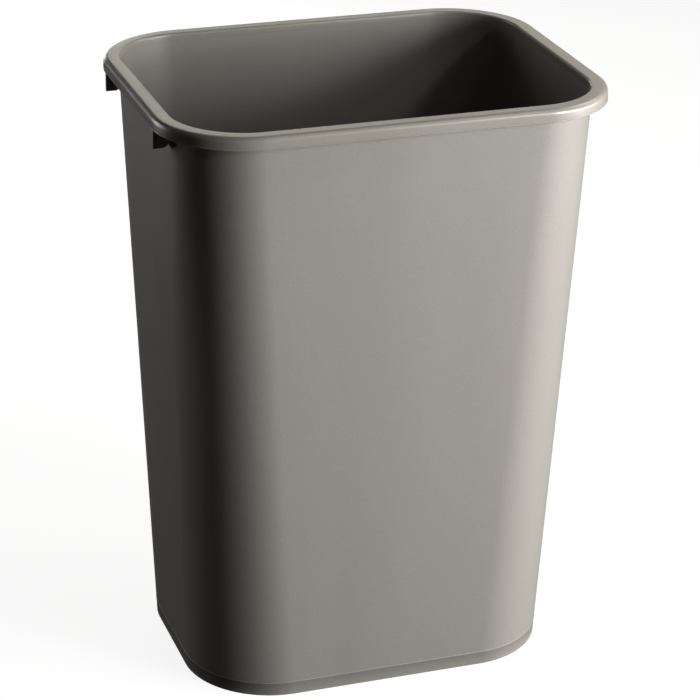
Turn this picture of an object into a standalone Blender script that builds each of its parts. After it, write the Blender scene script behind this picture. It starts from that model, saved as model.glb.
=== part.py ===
"""Open rectangular wastebasket: one tapered moulding, built as its moulding zones.

Units are metres and +Z is up. The origin is the centre of the footprint, on the floor.
The long sides face -Y (front) and +Y (back), and the short ends face -X (left) and +X (right).
Neighbouring zones are separate solids with MOULD_GAP between them.
"""

import math

import bmesh
import bpy

# Overall sizes, outside to outside.
RIM_LENGTH = 0.375
RIM_WIDTH = 0.292
HEIGHT = 0.505

# Walls: how far they lean in between the rim and the floor, and how thick the shell is.
END_DRAFT = 0.0181
SIDE_DRAFT = 0.0167
SHELL_THICKNESS = 0.0021

# Corners, seen from above.
RIM_CORNER_RADIUS = 0.0734
BASE_CORNER_RADIUS = 0.0744

# Rim: a flat land round the mouth, and a skirt that hangs from its outer edge.
LAND_WIDTH = 0.0144
LAND_THICKNESS = 0.0024
SKIRT_DEPTH = 0.0109
SKIRT_THICKNESS = 0.0022

# Base: a rounded heel, a level standing ring, and a centre raised clear of the floor.
MOULD_LINE_HEIGHT = 0.0117
HEEL_RADIUS = 0.006
STANDING_RING_WIDTH = 0.012
CENTRE_STEP = 0.003
CENTRE_RISE = 0.0018

# Lugs: four plates under the land, where the rim's ends turn into its corners.
LUG_DROP = 0.026
LUG_THICKNESS = 0.0035
LUG_CHAMFER = 0.004
LUG_INSET = 0.0005
LUG_PAST_CORNER = 0.0015

# Clearance between neighbouring zones, and from a lug to the skirt that curves away beside it.
MOULD_GAP = 0.0003
LUG_SKIRT_GAP = 0.0005

# Facets in a quarter circle.
CORNER_STEPS = 16
EDGE_STEPS = 4
HEEL_STEPS = 5

QUARTER_TURN = math.pi / 2
SHARP_ANGLE = math.radians(35)

# Finishes: colour, roughness and metallic value.
SHELL_FINISH = ((0.262, 0.242, 0.214, 1.0), 0.55, 0.0)
RIM_FINISH = ((0.285, 0.264, 0.232, 1.0), 0.45, 0.0)
LUG_FINISH = ((0.235, 0.216, 0.190, 1.0), 0.60, 0.0)


class Section:
    """A level rounded rectangle, centred on the Z axis."""

    def __init__(self, half_x, half_y, radius):
        self.half_x = half_x
        self.half_y = half_y
        self.radius = radius

    def shrunk(self, inset):
        """The same outline, moved in by inset all the way round."""
        return Section(self.half_x - inset, self.half_y - inset, self.radius - inset)

    def points(self):
        """The outline's points, counter-clockwise, as (x, y)."""
        outline = []
        for quarter, (side_x, side_y) in enumerate(((1, 1), (-1, 1), (-1, -1), (1, -1))):
            centre_x = side_x * (self.half_x - self.radius)
            centre_y = side_y * (self.half_y - self.radius)
            for step in range(CORNER_STEPS + 1):
                angle = (quarter + step / CORNER_STEPS) * QUARTER_TURN
                x = centre_x + self.radius * math.cos(angle)
                y = centre_y + self.radius * math.sin(angle)
                outline.append((x, y))
        return outline


def rim_section():
    """The outline of the skirt's outer face."""
    return Section(RIM_LENGTH / 2, RIM_WIDTH / 2, RIM_CORNER_RADIUS)


def wall_section(height):
    """The outline of the shell's outer face at a height above the floor."""
    mouth = rim_section().shrunk(LAND_WIDTH - SHELL_THICKNESS)
    depth = 1 - height / HEIGHT
    half_x = mouth.half_x - END_DRAFT * depth
    half_y = mouth.half_y - SIDE_DRAFT * depth
    radius = mouth.radius + (BASE_CORNER_RADIUS - mouth.radius) * depth
    return Section(half_x, half_y, radius)


def clear_scene():
    for item in list(bpy.data.objects):
        bpy.data.objects.remove(item, do_unlink=True)


def moulded_plastic(name, finish):
    """A Principled material for one zone."""
    colour, roughness, metallic = finish
    material = bpy.data.materials.new(name)
    material.use_nodes = True
    shader = material.node_tree.nodes["Principled BSDF"]
    shader.inputs["Base Color"].default_value = colour
    shader.inputs["Roughness"].default_value = roughness
    shader.inputs["Metallic"].default_value = metallic
    material.diffuse_color = colour
    return material


def loft(name, outlines, closed=False, capped=False):
    """Skin a mesh through outlines of different size and corner radius.

    outlines is a list of (section, height), drawn upwards on an outer face. A closed loft also
    joins the last outline to the first, and a capped one is filled across the first.
    """
    bm = bmesh.new()
    rings = []
    for section, height in outlines:
        rings.append([bm.verts.new((x, y, height)) for x, y in section.points()])
    pairs = list(zip(rings, rings[1:]))
    if closed:
        pairs.append((rings[-1], rings[0]))
    for lower, upper in pairs:
        for here in range(len(lower)):
            bm.faces.new((lower[here - 1], lower[here], upper[here], upper[here - 1]))
    if capped:
        bm.faces.new(reversed(rings[0]))
    mesh = bpy.data.meshes.new(name)
    bm.to_mesh(mesh)
    bm.free()
    mesh.shade_smooth()
    mesh.set_sharp_from_angle(angle=SHARP_ANGLE)
    return mesh


def add_zone(name, data, finish, collection, root):
    """Put a zone's mesh or curve in the collection, as an object under root."""
    zone = bpy.data.objects.new(name, data)
    if not data.materials:
        data.materials.append(moulded_plastic(name + "_plastic", finish))
    zone.parent = root
    collection.objects.link(zone)
    return zone


def thicken(zone, thickness):
    """Give an open skin its wall, on the inner side of the faces drawn."""
    wall = zone.modifiers.new("wall", "SOLIDIFY")
    wall.thickness = thickness
    wall.offset = -1
    wall.use_even_offset = True


def side_wall_mesh():
    """The drafted shell between the mould line and the land."""
    foot = MOULD_LINE_HEIGHT + MOULD_GAP / 2
    head = HEIGHT - LAND_THICKNESS - MOULD_GAP
    return loft("side_wall", [(wall_section(foot), foot), (wall_section(head), head)])


def base_pan_mesh():
    """The shell below the mould line: raised centre, standing ring and heel."""
    ring_inset = HEEL_RADIUS + STANDING_RING_WIDTH
    outlines = [
        (wall_section(0).shrunk(ring_inset + CENTRE_STEP), CENTRE_RISE),
        (wall_section(0).shrunk(ring_inset), 0),
    ]
    for step in range(HEEL_STEPS + 1):
        angle = step / HEEL_STEPS * QUARTER_TURN
        height = HEEL_RADIUS * (1 - math.cos(angle))
        inset = HEEL_RADIUS * (1 - math.sin(angle))
        outlines.append((wall_section(height).shrunk(inset), height))
    top = MOULD_LINE_HEIGHT - MOULD_GAP / 2
    outlines.append((wall_section(top), top))
    return loft("base_pan", outlines, capped=True)


def rim_land_mesh():
    """The flat ledge round the mouth, with a quarter-round outer edge as deep as it is thick."""
    outer = rim_section()
    underside = HEIGHT - LAND_THICKNESS
    outlines = []
    for step in range(EDGE_STEPS + 1):
        angle = step / EDGE_STEPS * QUARTER_TURN
        inset = LAND_THICKNESS * (1 - math.cos(angle))
        height = underside + LAND_THICKNESS * math.sin(angle)
        outlines.append((outer.shrunk(inset), height))
    outlines.append((outer.shrunk(LAND_WIDTH), HEIGHT))
    outlines.append((outer.shrunk(LAND_WIDTH), underside))
    return loft("rim_land", outlines, closed=True)


def rim_skirt_mesh():
    """The band that hangs from the land's outer edge."""
    head = HEIGHT - LAND_THICKNESS - MOULD_GAP
    foot = HEIGHT - SKIRT_DEPTH
    return loft("rim_skirt", [(rim_section(), foot), (rim_section(), head)])


def lug_outline():
    """The right-hand lug seen from the front, as (x, z), clear of the shell, land and skirt."""
    top = HEIGHT - LAND_THICKNESS - MOULD_GAP
    bottom = HEIGHT - LUG_DROP
    step = HEIGHT - SKIRT_DEPTH - MOULD_GAP
    inside_skirt = RIM_LENGTH / 2 - SKIRT_THICKNESS - LUG_SKIRT_GAP
    below_skirt = RIM_LENGTH / 2 - LUG_INSET
    return [
        (wall_section(top).half_x + MOULD_GAP, top),
        (wall_section(bottom + LUG_CHAMFER).half_x + MOULD_GAP, bottom + LUG_CHAMFER),
        (wall_section(bottom).half_x + MOULD_GAP + LUG_CHAMFER, bottom),
        (below_skirt, bottom),
        (below_skirt, step),
        (inside_skirt, step),
        (inside_skirt, top),
    ]


def lug_curve():
    """The lug as a flat outline, extruded half its thickness to each side."""
    curve = bpy.data.curves.new("rim_lug", "CURVE")
    curve.dimensions = "2D"
    curve.fill_mode = "BOTH"
    curve.extrude = LUG_THICKNESS / 2
    outline = lug_outline()
    spline = curve.splines.new("POLY")
    spline.points.add(len(outline) - 1)
    spline.use_cyclic_u = True
    for point, (x, z) in zip(spline.points, outline):
        point.co = (x, z, 0, 1)
    return curve


def add_lugs(collection, root):
    """Stand one lug under each corner of the land: both ends, front and back."""
    curve = lug_curve()
    lug_y = RIM_WIDTH / 2 - RIM_CORNER_RADIUS + LUG_PAST_CORNER
    for end, turn in (("left", math.pi), ("right", 0)):
        for side, y in (("front", -lug_y), ("back", lug_y)):
            lug = add_zone(f"rim_lug_{side}_{end}", curve, LUG_FINISH, collection, root)
            lug.location = (0, y, 0)
            lug.rotation_euler = (QUARTER_TURN, 0, turn)


def main():
    clear_scene()
    collection = bpy.data.collections.new("wastebasket")
    bpy.context.scene.collection.children.link(collection)
    root = bpy.data.objects.new("wastebasket_origin", None)
    collection.objects.link(root)

    side_wall = add_zone("side_wall", side_wall_mesh(), SHELL_FINISH, collection, root)
    thicken(side_wall, SHELL_THICKNESS)
    base_pan = add_zone("base_pan", base_pan_mesh(), SHELL_FINISH, collection, root)
    thicken(base_pan, SHELL_THICKNESS)
    add_zone("rim_land", rim_land_mesh(), RIM_FINISH, collection, root)
    rim_skirt = add_zone("rim_skirt", rim_skirt_mesh(), RIM_FINISH, collection, root)
    thicken(rim_skirt, SKIRT_THICKNESS)
    add_lugs(collection, root)


main()
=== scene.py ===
"""The looks of an open rectangular wastebasket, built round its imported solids.

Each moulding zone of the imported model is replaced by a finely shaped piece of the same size
and place. Units are metres, +Z is up, and the long front side faces -Y.
"""

import logging
import math
from dataclasses import dataclass
from enum import Enum

import bmesh
import bpy
from mathutils import Matrix, Vector


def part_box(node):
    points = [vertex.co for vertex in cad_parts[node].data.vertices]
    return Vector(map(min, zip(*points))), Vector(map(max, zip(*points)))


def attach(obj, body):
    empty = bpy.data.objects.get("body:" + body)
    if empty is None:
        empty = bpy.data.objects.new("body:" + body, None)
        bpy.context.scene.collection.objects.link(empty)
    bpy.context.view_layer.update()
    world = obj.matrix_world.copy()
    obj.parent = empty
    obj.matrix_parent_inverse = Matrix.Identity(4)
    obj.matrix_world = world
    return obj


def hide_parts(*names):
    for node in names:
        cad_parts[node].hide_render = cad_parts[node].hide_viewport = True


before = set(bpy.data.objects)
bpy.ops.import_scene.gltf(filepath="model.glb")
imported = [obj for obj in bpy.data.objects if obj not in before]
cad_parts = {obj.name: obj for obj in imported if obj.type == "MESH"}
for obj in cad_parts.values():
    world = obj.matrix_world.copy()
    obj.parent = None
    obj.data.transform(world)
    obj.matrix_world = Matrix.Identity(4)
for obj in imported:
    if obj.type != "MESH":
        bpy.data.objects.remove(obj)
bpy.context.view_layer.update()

LOG = logging.getLogger("wastebasket")
BODY = "root"
SMOOTH_ANGLE = math.radians(40)
MERGE_DISTANCE = 0.000001
NOISE_LOW = 0.3
NOISE_HIGH = 0.7

BMesh = bmesh.types.BMesh
EdgeRun = list[bmesh.types.BMEdge]


class Slot(Enum):
    """The record's material slots."""

    SHELL = "moulded_shell"
    RIM = "moulded_rim"
    LUG = "moulded_lug"


class End(Enum):
    """The two short ends, by the sign of X that each lies on."""

    LEFT = -1
    RIGHT = 1


class Side(Enum):
    """The two long sides, by the sign of Y that each lies on."""

    FRONT = -1
    BACK = 1


# ---------------------------------------------------------------------------
# Finishes
# ---------------------------------------------------------------------------


class NodeBench:
    """Lays out shader nodes for one material."""

    def __init__(self, material: bpy.types.Material) -> None:
        """Start from an empty node tree.

        Args:
            material: The material whose nodes are laid out.
        """
        material.use_nodes = True
        self.tree = material.node_tree
        self.tree.nodes.clear()

    def add(self, kind: str, **settings: object) -> bpy.types.Node:
        """Add a node.

        Args:
            kind: The node's type name, such as "ShaderNodeBump".
            settings: Properties of the node itself.

        Returns:
            The new node.
        """
        node = self.tree.nodes.new(kind)
        for name, value in settings.items():
            setattr(node, name, value)
        return node

    def link(self, start: bpy.types.NodeSocket, end: bpy.types.NodeSocket) -> None:
        """Join an output to an input."""
        self.tree.links.new(start, end)

    def noise(
        self, vector: bpy.types.NodeSocket, scale: float, detail: float, roughness: float
    ) -> bpy.types.NodeSocket:
        """Add a noise pattern.

        Args:
            vector: Where the pattern is read from.
            scale: Features per metre.
            detail: Octaves of finer noise.
            roughness: How strong the finer octaves are.

        Returns:
            The noise's value, about 0.5 on average.
        """
        node = self.add("ShaderNodeTexNoise")
        node.inputs["Scale"].default_value = scale
        node.inputs["Detail"].default_value = detail
        node.inputs["Roughness"].default_value = roughness
        self.link(vector, node.inputs["Vector"])
        return node.outputs["Fac"]

    def stretched(self, vector: bpy.types.NodeSocket, scale: Vector) -> bpy.types.NodeSocket:
        """Scale a coordinate along each axis.

        Args:
            vector: The coordinate.
            scale: The factor along X, Y and Z.

        Returns:
            The scaled coordinate.
        """
        node = self.add("ShaderNodeMapping")
        node.inputs["Scale"].default_value = scale
        self.link(vector, node.inputs["Vector"])
        return node.outputs["Vector"]

    def ranged(self, value: bpy.types.NodeSocket, low: float, high: float) -> bpy.types.NodeSocket:
        """Map the middle of a noise's range to low..high.

        Args:
            value: A noise value.
            low: What a noise of NOISE_LOW becomes.
            high: What a noise of NOISE_HIGH becomes.

        Returns:
            The mapped value.
        """
        node = self.add("ShaderNodeMapRange")
        node.inputs["From Min"].default_value = NOISE_LOW
        node.inputs["From Max"].default_value = NOISE_HIGH
        node.inputs["To Min"].default_value = low
        node.inputs["To Max"].default_value = high
        self.link(value, node.inputs["Value"])
        return node.outputs["Result"]


@dataclass(frozen=True)
class MouldedPlastic:
    """Warm grey polyethylene straight from the mould.

    The colour clouds slightly where the melt flowed, the gloss varies a little with it, and fine
    specks break up the colour. A spark-eroded grain over a faint orange peel roughens the surface,
    except where the grain's depth is 0.
    """

    name: str
    colour: tuple[float, float, float]
    roughness: float
    refraction: float = 1.51
    flow_per_metre: tuple[float, float, float] = (9.0, 9.0, 1.6)
    cloud_contrast: float = 0.035
    gloss_spread: float = 0.035
    gloss_fineness: float = 2.3
    specks_per_metre: float = 900.0
    speck_contrast: float = 0.05
    grain_per_metre: float = 750.0
    grain_depth: float = 0.00007
    peel_per_metre: float = 110.0
    peel_depth: float = 0.00005

    def shade(self, share: float) -> tuple[float, float, float, float]:
        """The colour, made lighter or darker.

        Args:
            share: 0 for the plain colour, 0.1 for a tenth lighter.

        Returns:
            Red, green, blue and alpha.
        """
        red, green, blue = (channel * (1 + share) for channel in self.colour)
        return red, green, blue, 1.0

    def make(self) -> bpy.types.Material:
        """Build the material.

        Returns:
            The finished material.
        """
        material = bpy.data.materials.new(self.name)
        bench = NodeBench(material)
        output = bench.add("ShaderNodeOutputMaterial")
        shader = bench.add("ShaderNodeBsdfPrincipled")
        shader.inputs["IOR"].default_value = self.refraction
        shader.inputs["Specular IOR Level"].default_value = 0.5
        bench.link(shader.outputs["BSDF"], output.inputs["Surface"])
        place = bench.add("ShaderNodeTexCoord").outputs["Object"]
        flow = bench.stretched(place, Vector(self.flow_per_metre))
        bench.link(self._tint(bench, place, flow), shader.inputs["Base Color"])
        gloss = bench.noise(flow, self.gloss_fineness, 4.0, 0.6)
        low = self.roughness - self.gloss_spread
        high = self.roughness + self.gloss_spread
        bench.link(bench.ranged(gloss, low, high), shader.inputs["Roughness"])
        if self.grain_depth > 0:
            bench.link(self._relief(bench, place), shader.inputs["Normal"])
        return material

    def _tint(
        self, bench: NodeBench, place: bpy.types.NodeSocket, flow: bpy.types.NodeSocket
    ) -> bpy.types.NodeSocket:
        """Cloud the colour along the flow, and speckle it.

        Args:
            bench: The material's nodes.
            place: Position on the object.
            flow: That position, stretched along the melt's flow.

        Returns:
            The colour.
        """
        cloud = bench.noise(flow, 1.0, 3.0, 0.55)
        speck = bench.noise(place, self.specks_per_metre, 2.0, 0.7)
        tone = bench.add("ShaderNodeMix", data_type="RGBA")
        tone.inputs["A"].default_value = self.shade(-self.cloud_contrast)
        tone.inputs["B"].default_value = self.shade(self.cloud_contrast)
        bench.link(bench.ranged(cloud, 0.0, 1.0), tone.inputs["Factor"])
        fleck = bench.add("ShaderNodeMix", data_type="RGBA", blend_type="MULTIPLY")
        fleck.inputs["Factor"].default_value = 1.0
        grey = bench.add("ShaderNodeCombineColor")
        level = bench.ranged(speck, 1 - self.speck_contrast, 1 + self.speck_contrast)
        for channel in ("Red", "Green", "Blue"):
            bench.link(level, grey.inputs[channel])
        bench.link(tone.outputs["Result"], fleck.inputs["A"])
        bench.link(grey.outputs["Color"], fleck.inputs["B"])
        return fleck.outputs["Result"]

    def _relief(self, bench: NodeBench, place: bpy.types.NodeSocket) -> bpy.types.NodeSocket:
        """Lay the grain over the orange peel.

        Args:
            bench: The material's nodes.
            place: Position on the object.

        Returns:
            The surface's normal.
        """
        peel = bench.add("ShaderNodeBump")
        peel.inputs["Strength"].default_value = 1.0
        peel.inputs["Distance"].default_value = self.peel_depth
        bench.link(bench.noise(place, self.peel_per_metre, 2.0, 0.5), peel.inputs["Height"])
        grain = bench.add("ShaderNodeBump")
        grain.inputs["Strength"].default_value = 1.0
        grain.inputs["Distance"].default_value = self.grain_depth
        bench.link(bench.noise(place, self.grain_per_metre, 3.0, 0.6), grain.inputs["Height"])
        bench.link(peel.outputs["Normal"], grain.inputs["Normal"])
        return grain.outputs["Normal"]


SHELL_PLASTIC = MouldedPlastic("shell_plastic", (0.262, 0.250, 0.231), 0.46)
# The rim is the shell's plastic, with its colour made lighter and warmer as painted light on the ledge.
RIM_PLASTIC_PAINTED_LIGHT = MouldedPlastic("rim_plastic_painted_light", (0.276, 0.262, 0.237), 0.30, grain_depth=0.0)
# The lugs are the shell's plastic, with its colour made darker as painted shade under the ledge.
LUG_PLASTIC_PAINTED_SHADE = MouldedPlastic("lug_plastic_painted_shade", (0.235, 0.223, 0.204), 0.55)


# ---------------------------------------------------------------------------
# Shapes that the pieces share
# ---------------------------------------------------------------------------


@dataclass(frozen=True)
class Outline:
    """A level rounded rectangle, centred on the Z axis."""

    half_x: float
    half_y: float
    radius: float
    corner_segments: int = 28
    side_cuts: int = 9

    def shrunk(self, inset: float) -> "Outline":
        """The same outline moved in by inset all the way round."""
        return Outline(self.half_x - inset, self.half_y - inset, self.radius - inset)

    def draw(self, bm: BMesh, height: float) -> EdgeRun:
        """Draw the outline: a flat plate with its corners rounded, and its face taken away.

        Args:
            bm: The mesh to draw in.
            height: The outline's Z.

        Returns:
            The closed run of edges.
        """
        before = set(bm.edges)
        plate = bmesh.ops.create_grid(bm, x_segments=1, y_segments=1, size=1)["verts"]
        bmesh.ops.scale(bm, vec=(self.half_x, self.half_y, 1), verts=plate)
        bmesh.ops.translate(bm, vec=(0, 0, height), verts=plate)
        bmesh.ops.bevel(
            bm,
            geom=plate,
            offset=self.radius,
            offset_type="OFFSET",
            segments=self.corner_segments,
            profile=0.5,
            affect="VERTICES",
            material=-1,
        )
        drawn = [edge for edge in bm.edges if edge not in before]
        faces = {face for edge in drawn for face in edge.link_faces}
        bmesh.ops.delete(bm, geom=list(faces), context="FACES_ONLY")
        longest_arc_step = self.radius * math.pi / self.corner_segments
        sides = [edge for edge in drawn if edge.calc_length() > longest_arc_step]
        bmesh.ops.subdivide_edges(bm, edges=sides, cuts=self.side_cuts)
        return [edge for edge in bm.edges if edge not in before]


@dataclass(frozen=True)
class Ring:
    """One turn of a swept section: an outline at a height, and the radius its edge is rounded to."""

    outline: Outline
    height: float
    rounding: float = 0.0
    rounding_segments: int = 2


def sweep(bm: BMesh, rings: list[Ring], closed: bool) -> None:
    """Bridge rings into a skin, and round off the rings that ask for it.

    The first and last rings of an open skin stay square, because a bevel leaves open edges alone.

    Args:
        bm: The mesh to build in.
        rings: The rings, in order round the section.
        closed: Whether the last ring also joins the first.
    """
    runs = [ring.outline.draw(bm, ring.height) for ring in rings]
    pairs = list(zip(runs, runs[1:]))
    if closed:
        pairs.append((runs[-1], runs[0]))
    for lower, upper in pairs:
        bmesh.ops.bridge_loops(bm, edges=lower + upper)
    bmesh.ops.recalc_face_normals(bm, faces=bm.faces)
    for ring, run in zip(rings, runs):
        if ring.rounding > 0:
            round_off(bm, run, ring.rounding, ring.rounding_segments)


def round_off(bm: BMesh, edges: EdgeRun, radius: float, segments: int) -> None:
    """Bevel edges to a radius.

    Args:
        bm: The mesh that holds the edges.
        edges: The edges to round.
        radius: The bevel's width from each edge.
        segments: Facets across the rounding.
    """
    bmesh.ops.bevel(
        bm,
        geom=edges,
        offset=radius,
        offset_type="OFFSET",
        segments=segments,
        profile=0.5,
        affect="EDGES",
        material=-1,
    )


def place_piece(
    bm: BMesh, name: str, finish: MouldedPlastic, nodes: list[str]
) -> bpy.types.Object:
    """Turn a mesh into a finished piece that stands for CAD nodes.

    Args:
        bm: The piece's mesh, in its place. It is freed.
        name: The piece's name.
        finish: What it is dressed in.
        nodes: The CAD nodes that it stands for.

    Returns:
        The piece.
    """
    bmesh.ops.remove_doubles(bm, verts=bm.verts, dist=MERGE_DISTANCE)
    bmesh.ops.recalc_face_normals(bm, faces=bm.faces)
    mesh = bpy.data.meshes.new(name)
    bm.to_mesh(mesh)
    bm.free()
    mesh.shade_smooth()
    mesh.set_sharp_from_angle(angle=SMOOTH_ANGLE)
    material = bpy.data.materials.get(finish.name) or finish.make()
    mesh.materials.append(material)
    piece = bpy.data.objects.new(name, mesh)
    bpy.context.scene.collection.objects.link(piece)
    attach(piece, BODY)
    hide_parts(*nodes)
    return piece


# ---------------------------------------------------------------------------
# The basket
# ---------------------------------------------------------------------------


@dataclass(frozen=True)
class BasketSizes:
    """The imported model's own sizes, and the few that its boxes don't show."""

    rim: Outline
    top: float
    land_width: float
    land_thickness: float
    skirt_depth: float
    skirt_thickness: float
    shell: float
    mouth: Outline
    mouth_height: float
    foot: Outline
    foot_height: float

    @classmethod
    def read(cls) -> "BasketSizes":
        """Read the sizes from the frame.

        Returns:
            The sizes.
        """
        rim_radius = 0.0734
        base_radius = 0.0744
        land_width = 0.0144
        shell = 0.0021
        skirt_thickness = 0.0022
        land_low, land_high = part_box("rim_land")
        skirt_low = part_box("rim_skirt")[0]
        wall_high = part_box("side_wall")[1]
        pan_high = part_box("base_pan")[1]
        mouth_radius = rim_radius - land_width + shell
        return cls(
            rim=Outline(land_high.x, land_high.y, rim_radius),
            top=land_high.z,
            land_width=land_width,
            land_thickness=land_high.z - land_low.z,
            skirt_depth=land_high.z - skirt_low.z,
            skirt_thickness=skirt_thickness,
            shell=shell,
            mouth=Outline(wall_high.x, wall_high.y, mouth_radius),
            mouth_height=wall_high.z,
            foot=Outline(pan_high.x, pan_high.y, base_radius),
            foot_height=pan_high.z,
        )

    def wall(self, height: float, inset: float = 0.0) -> Outline:
        """The shell's outline at a height.

        Args:
            height: The height above the floor.
            inset: How far inside the outer face.

        Returns:
            The outline.
        """
        rise = (height - self.foot_height) / (self.mouth_height - self.foot_height)
        half_x = self.foot.half_x + (self.mouth.half_x - self.foot.half_x) * rise
        half_y = self.foot.half_y + (self.mouth.half_y - self.foot.half_y) * rise
        radius = self.foot.radius + (self.mouth.radius - self.foot.radius) * rise
        return Outline(half_x, half_y, radius).shrunk(inset)


@dataclass(frozen=True)
class WallShell:
    """The tall drafted wall between the mould line and the rim."""

    sizes: BasketSizes
    rim_stub: float = 0.006
    mould_line: float = 0.0121
    end_slope: float = 0.00004

    def build(self) -> bpy.types.Object:
        """Bridge the outer and inner faces, and close both ends.

        Returns:
            The wall.
        """
        sizes = self.sizes
        head = sizes.top - self.rim_stub
        bm = bmesh.new()
        rings = [
            Ring(sizes.wall(self.mould_line), self.mould_line),
            Ring(sizes.wall(head), head),
            Ring(sizes.wall(head, sizes.shell), head - self.end_slope),
            Ring(sizes.wall(self.mould_line, sizes.shell), self.mould_line + self.end_slope),
        ]
        sweep(bm, rings, closed=True)
        return place_piece(bm, "wall_shell", SHELL_PLASTIC, ["side_wall"])


@dataclass(frozen=True)
class RolledRim:
    """The ledge and skirt, with the top of the wall that carries them."""

    sizes: BasketSizes
    rim_stub: float = 0.006
    flash_proud: float = 0.0004
    flash_height: float = 0.0011
    flash_rounding: float = 0.0002
    foot_rounding: float = 0.0006
    land_fall: float = 0.0003
    outer_rounding: float = 0.0042
    lip_rounding: float = 0.0022
    inner_rounding: float = 0.0008
    skirt_inner_foot: float = 0.0003
    skirt_draft: float = 0.0002
    end_slope: float = 0.00004

    def build(self) -> bpy.types.Object:
        """Sweep the rim's section round the mouth.

        Returns:
            The rim.
        """
        sizes = self.sizes
        rim = sizes.rim
        foot = sizes.top - sizes.skirt_depth
        seam = sizes.top - self.rim_stub
        underside = sizes.top - sizes.land_thickness
        skirt_inside = self.flash_proud + sizes.skirt_thickness
        lip = sizes.wall(sizes.top, sizes.shell)
        bm = bmesh.new()
        rings = [
            Ring(rim, foot, self.foot_rounding, 4),
            Ring(rim, foot + self.flash_height, self.flash_rounding),
            Ring(rim.shrunk(self.flash_proud), foot + self.flash_height + self.flash_proud / 2),
            Ring(rim.shrunk(self.flash_proud), sizes.top - self.land_fall, self.outer_rounding, 12),
            Ring(lip, sizes.top, self.lip_rounding, 8),
            Ring(sizes.wall(seam, sizes.shell), seam + self.end_slope),
            Ring(sizes.wall(seam), seam),
            Ring(sizes.wall(underside), underside, self.inner_rounding, 3),
            Ring(rim.shrunk(skirt_inside), underside - self.end_slope, self.inner_rounding, 3),
            Ring(rim.shrunk(skirt_inside - self.skirt_draft), foot + self.end_slope, self.skirt_inner_foot),
        ]
        sweep(bm, rings, closed=True)
        return place_piece(bm, "rolled_rim", RIM_PLASTIC_PAINTED_LIGHT, ["rim_land", "rim_skirt"])


@dataclass(frozen=True)
class BasePan:
    """The floor of the basket, square at its bottom edge, and the mould line round its top edge."""

    sizes: BasketSizes
    mould_line: float = 0.0121
    flash_proud: float = 0.00015
    flash_height: float = 0.0008
    flash_lead: float = 0.0002
    flash_rounding: float = 0.0001
    standing_ring: float = 0.012
    centre_step: float = 0.003
    centre_rise: float = 0.0018
    end_slope: float = 0.00004

    def build(self) -> bpy.types.Object:
        """Build the pan from its skins, underside and floor.

        Returns:
            The pan.
        """
        sizes = self.sizes
        flash_top = self.mould_line - self.flash_lead
        flash_foot = flash_top - self.flash_height
        floor_top = self.centre_rise + sizes.shell
        bead_foot = sizes.wall(flash_foot, -self.flash_proud)
        bead_top = sizes.wall(flash_top, -self.flash_proud)
        bm = bmesh.new()
        rings = [
            Ring(sizes.wall(0.0), 0.0),
            Ring(sizes.wall(flash_foot), flash_foot),
            Ring(bead_foot, flash_foot + self.flash_lead, self.flash_rounding),
            Ring(bead_top, flash_top, self.flash_rounding),
            Ring(sizes.wall(self.mould_line), self.mould_line),
            Ring(sizes.wall(self.mould_line, sizes.shell), self.mould_line - self.end_slope),
            Ring(sizes.wall(floor_top, sizes.shell), floor_top),
        ]
        sweep(bm, rings, closed=False)
        self._fill_ends(bm)
        return place_piece(bm, "floor_pan", SHELL_PLASTIC, ["base_pan"])

    def _fill_ends(self, bm: BMesh) -> None:
        """Close the underside and the floor, and press the underside's centre up.

        Args:
            bm: The pan, open where its two ends are.
        """
        ends = [edge for edge in bm.edges if edge.is_boundary]
        plates = bmesh.ops.holes_fill(bm, edges=ends, sides=0)["faces"]
        underside = min(plates, key=lambda face: face.calc_center_median().z)
        bmesh.ops.inset_region(bm, faces=[underside], thickness=self.standing_ring, use_even_offset=True)
        bmesh.ops.inset_region(bm, faces=[underside], thickness=self.centre_step, use_even_offset=True)
        bmesh.ops.translate(bm, vec=(0, 0, self.centre_rise), verts=list(underside.verts))


@dataclass(frozen=True)
class RimLug:
    """One plate under the ledge, where an end of the rim turns into a corner."""

    sizes: BasketSizes
    end: End
    side: Side
    chamfer_width: float = 0.0042
    chamfer_height: float = 0.0028
    skirt_inset: float = 0.0004
    edge_rounding: float = 0.0005

    def build(self) -> bpy.types.Object:
        """Draw the plate's face, thicken it and round its edges.

        Returns:
            The lug.
        """
        node = f"rim_lug_{self.side.name.lower()}_{self.end.name.lower()}"
        low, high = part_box(node)
        sizes = self.sizes
        skirt_foot = sizes.top - sizes.skirt_depth
        inside = sizes.rim.half_x - sizes.skirt_thickness - self.skirt_inset
        outside = max(abs(low.x), abs(high.x))
        face = [
            (sizes.wall(high.z).half_x, high.z),
            (sizes.wall(low.z + self.chamfer_height).half_x, low.z + self.chamfer_height),
            (sizes.wall(low.z).half_x + self.chamfer_width, low.z),
            (outside, low.z),
            (outside, skirt_foot),
            (inside, skirt_foot),
            (inside, high.z),
        ]
        bm = bmesh.new()
        verts = [bm.verts.new((self.end.value * x, low.y, z)) for x, z in face]
        bmesh.ops.contextual_create(bm, geom=verts)
        grown = bmesh.ops.extrude_face_region(bm, geom=list(bm.faces))["geom"]
        lifted = [item for item in grown if isinstance(item, bmesh.types.BMVert)]
        bmesh.ops.translate(bm, vec=(0, high.y - low.y, 0), verts=lifted)
        round_off(bm, list(bm.edges), self.edge_rounding, 3)
        name = f"lug_{self.side.name.lower()}_{self.end.name.lower()}"
        return place_piece(bm, name, LUG_PLASTIC_PAINTED_SHADE, [node])


# ---------------------------------------------------------------------------
# The studio
# ---------------------------------------------------------------------------

WARM_WHITE = (1.0, 0.95, 0.85)


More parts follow.
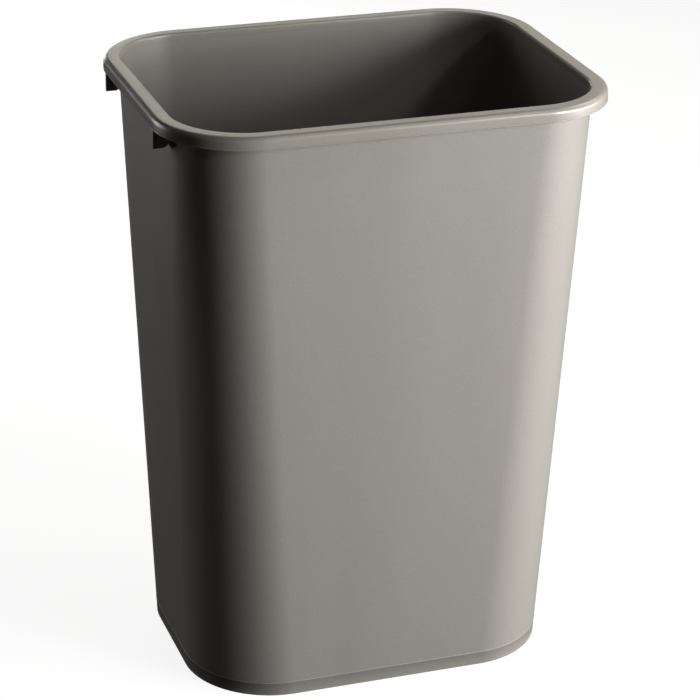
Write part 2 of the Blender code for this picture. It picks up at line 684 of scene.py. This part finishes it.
def direction(azimuth: float, elevation: float) -> Vector:
    """The way from the basket to something round it.

    Args:
        azimuth: Degrees to the right of the long front side.
        elevation: Degrees above the horizon.

    Returns:
        A vector of length 1.
    """
    turn = math.radians(azimuth)
    rise = math.radians(elevation)
    return Vector((math.sin(turn) * math.cos(rise), -math.cos(turn) * math.cos(rise), math.sin(rise)))


@dataclass(frozen=True)
class SoftBox:
    """A rectangular studio light, aimed at a point above the floor.

    Angles are in degrees, lengths in metres and power in watts.
    """

    name: str
    azimuth: float
    elevation: float
    distance: float
    width: float
    height: float
    power: float
    aim_height: float = 0.3
    colour: tuple[float, float, float] = (1.0, 1.0, 1.0)

    def hang(self) -> None:
        """Put the light in the scene."""
        lamp = bpy.data.lights.new(self.name, "AREA")
        lamp.shape = "RECTANGLE"
        lamp.size = self.width
        lamp.size_y = self.height
        lamp.energy = self.power
        lamp.color = self.colour
        light = bpy.data.objects.new(self.name, lamp)
        away = direction(self.azimuth, self.elevation)
        light.location = Vector((0, 0, self.aim_height)) + away * self.distance
        light.rotation_mode = "QUATERNION"
        light.rotation_quaternion = (-away).to_track_quat("-Z", "Y")
        light.visible_camera = False
        bpy.context.scene.collection.objects.link(light)


@dataclass(frozen=True)
class StudioCamera:
    """A long lens to the left of the front, looking down into the mouth."""

    azimuth: float = -19.0194
    elevation: float = 23.7257
    roll: float = 0.8783
    distance: float = 2.2526
    target_height: float = 0.25
    lens: float = 136.47
    shift_x: float = 0.002967
    shift_y: float = 0.007954

    def place(self) -> None:
        """Put the camera in the scene and make it the scene's own."""
        lens = bpy.data.cameras.new("studio_camera")
        lens.lens = self.lens
        lens.shift_x = self.shift_x
        lens.shift_y = self.shift_y
        camera = bpy.data.objects.new("studio_camera", lens)
        back = direction(self.azimuth, self.elevation)
        level = Vector((0, 0, 1)).cross(back).normalized()
        upright = back.cross(level)
        tilt = math.radians(self.roll)
        right = level * math.cos(tilt) + upright * math.sin(tilt)
        above = upright * math.cos(tilt) - level * math.sin(tilt)
        spot = Vector((0, 0, self.target_height)) + back * self.distance
        camera.matrix_world = Matrix(
            (
                (right.x, above.x, back.x, spot.x),
                (right.y, above.y, back.y, spot.y),
                (right.z, above.z, back.z, spot.z),
                (0, 0, 0, 1),
            )
        )
        bpy.context.scene.collection.objects.link(camera)
        bpy.context.scene.camera = camera


@dataclass(frozen=True)
class Studio:
    """A pale floor, soft lights and the camera.

    The keys shape the front and right, the panels light the ledge and the mouth, and the fills
    lift the far sides.
    """

    floor_size: float = 30.0
    floor_colour: tuple[float, float, float, float] = (0.14, 0.14, 0.14, 1.0)
    paper_white: tuple[float, float, float, float] = (0.90, 0.90, 0.90, 1.0)
    print_gamma: float = 0.8
    lights: tuple[SoftBox, ...] = (
        SoftBox("key_left", 36, 12, 2.0, 0.36, 0.55, 20.0),
        SoftBox("key_middle", 43, 12, 2.0, 0.55, 0.55, 12.0),
        SoftBox("key_upper", 42, 18, 2.0, 0.55, 0.55, 6.0),
        SoftBox("key_spark", 25, 27, 2.0, 0.14, 0.14, 5.0),
        SoftBox("key_lower", 40, 2, 2.0, 0.55, 0.55, 8.0),
        SoftBox("key_right", 60, 2, 2.0, 0.55, 0.55, 31.0),
        SoftBox("key_far_right", 80, 2, 2.0, 0.55, 0.55, 11.0),
        SoftBox("high_panel", 42, 58, 2.0, 0.25, 0.25, 3.0),
        SoftBox("side_panel", 100, 50, 1.0, 0.4, 0.4, 2.5),
        SoftBox("left_fill", -135, 7, 2.0, 0.8, 1.2, 16.0),
        SoftBox("low_left", -90, 3, 0.6, 0.3, 0.1, 0.08, aim_height=0.03),
        SoftBox("low_front", -20, 3, 0.65, 0.4, 0.1, 0.18, aim_height=0.03),
        SoftBox("rear_panel", 175, 45, 1.6, 0.9, 0.6, 2.5, colour=WARM_WHITE),
        SoftBox("rear_fill", 182, 4, 2.0, 0.8, 0.8, 9.0),
        SoftBox("ledge_sheen", 155, 26, 2.0, 1.4, 0.7, 5.2, colour=WARM_WHITE),
    )

    def build(self) -> None:
        """Lay the floor, hang the lights, set the world and place the camera."""
        self._lay_floor()
        for light in self.lights:
            light.hang()
        self._set_world()
        StudioCamera().place()
        bpy.context.scene.view_settings.view_transform = "Standard"
        bpy.context.scene.view_settings.gamma = self.print_gamma

    def _lay_floor(self) -> None:
        """A plain pale plane that doesn't throw light back on the basket."""
        bm = bmesh.new()
        bmesh.ops.create_grid(bm, x_segments=1, y_segments=1, size=self.floor_size / 2)
        mesh = bpy.data.meshes.new("studio_floor")
        bm.to_mesh(mesh)
        bm.free()
        material = bpy.data.materials.new("floor_paper")
        material.use_nodes = True
        shader = material.node_tree.nodes["Principled BSDF"]
        shader.inputs["Base Color"].default_value = self.floor_colour
        shader.inputs["Roughness"].default_value = 0.9
        shader.inputs["Specular IOR Level"].default_value = 0.0
        shader.inputs["Emission Color"].default_value = self.paper_white
        shader.inputs["Emission Strength"].default_value = 1.0
        mesh.materials.append(material)
        floor = bpy.data.objects.new("studio_floor", mesh)
        floor.visible_diffuse = False
        floor.visible_glossy = False
        bpy.context.scene.collection.objects.link(floor)

    def _set_world(self) -> None:
        """A pale backdrop to look at, which throws no light on the basket."""
        world = bpy.data.worlds.new("studio_world")
        world.use_nodes = True
        bpy.context.scene.world = world
        nodes = world.node_tree.nodes
        links = world.node_tree.links
        nodes.clear()
        seen = nodes.new("ShaderNodeBackground")
        seen.inputs["Color"].default_value = self.paper_white
        path = nodes.new("ShaderNodeLightPath")
        output = nodes.new("ShaderNodeOutputWorld")
        links.new(path.outputs["Is Camera Ray"], seen.inputs["Strength"])
        links.new(seen.outputs["Background"], output.inputs["Surface"])


def main() -> None:
    """Build the studio and the basket, piece by piece."""
    logging.basicConfig(level=logging.INFO, format="%(name)s: %(message)s")
    Studio().build()
    sizes = BasketSizes.read()
    builders = [WallShell(sizes), RolledRim(sizes), BasePan(sizes)]
    builders += [RimLug(sizes, end, side) for end in End for side in Side]
    for builder in builders:
        piece = builder.build()
        LOG.info("%s: %d faces", piece.name, len(piece.data.polygons))


if __name__ == "__main__":
    main()
